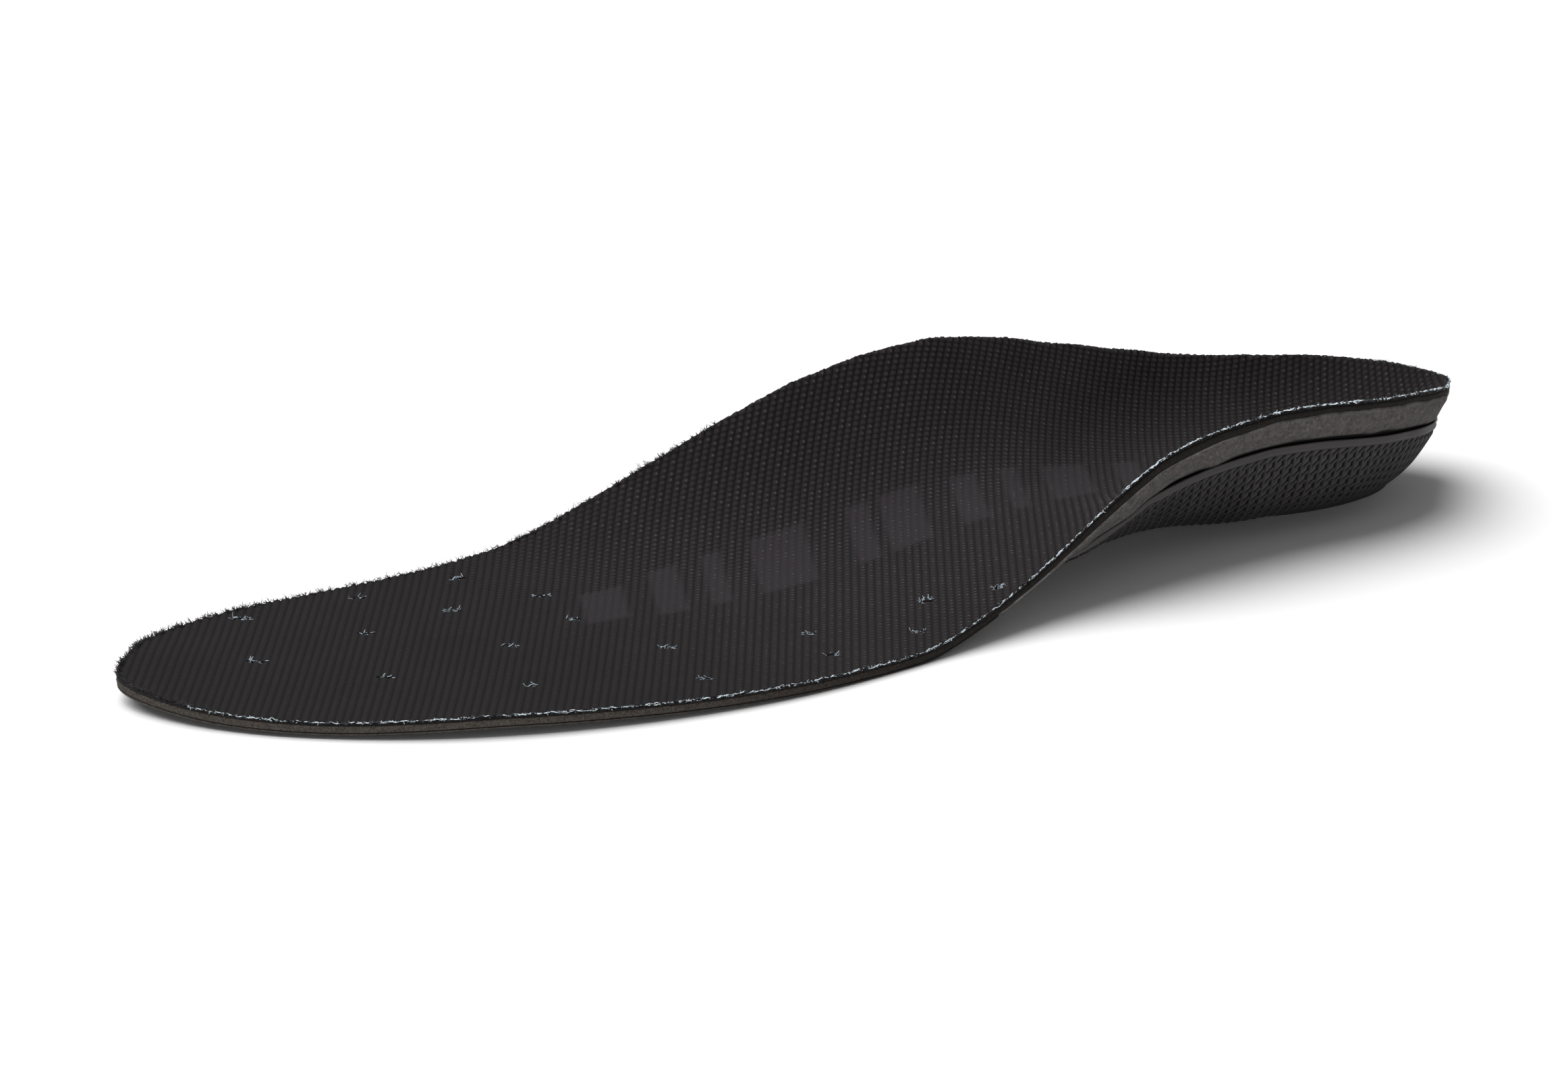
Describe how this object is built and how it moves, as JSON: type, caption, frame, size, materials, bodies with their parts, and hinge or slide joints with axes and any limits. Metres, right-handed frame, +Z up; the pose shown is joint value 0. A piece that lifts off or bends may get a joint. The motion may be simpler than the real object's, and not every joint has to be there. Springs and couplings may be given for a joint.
{
  "type": "cushioned insole",
  "caption": "Contoured left shoe insole with a knitted cover, foam cushioning, a raised arch and a cupped heel shell, to lay inside a shoe.",
  "frame": {"origin": "on the floor under the middle of the insole's length and width", "axes": "+X towards the toe, +Y towards the outer side of the foot, +Z up"},
  "size_m": [0.28, 0.0914, 0.0336],
  "materials": {
    "knit": "ribbed polyester knit, matte",
    "foam": "open-cell polyurethane foam, cut edge",
    "film": "thin smooth backing film",
    "wedge_foam": "ground EVA foam, matte and speckled",
    "shell": "moulded, with a fine raised net",
    "ring": "smooth moulded rubber",
    "crash_pad": "soft moulded polyurethane, burnt red"
  },
  "bodies": {
    "rear": {"top_cover_rear": "knit", "comfort_foam_rear": "foam", "forefoot_film_rear": "film", "support_wedge": "wedge_foam", "cup_shell": "shell", "heel_base_ring": "ring", "heel_crash_pad": "crash_pad"},
    "forefoot": {"top_cover_front": "knit", "comfort_foam_front": "foam", "forefoot_film_front": "film"}
  },
  "joints": [
    {"name": "toe_flex", "type": "hinge", "parent": "rear", "child": "forefoot", "pos_m": [0.05085, -0.0017, 0.0042], "axis": [0.2504, -0.9681, 0], "range_deg": [0, 45], "stiffness_Nm_per_rad": 0.03}
  ]
}
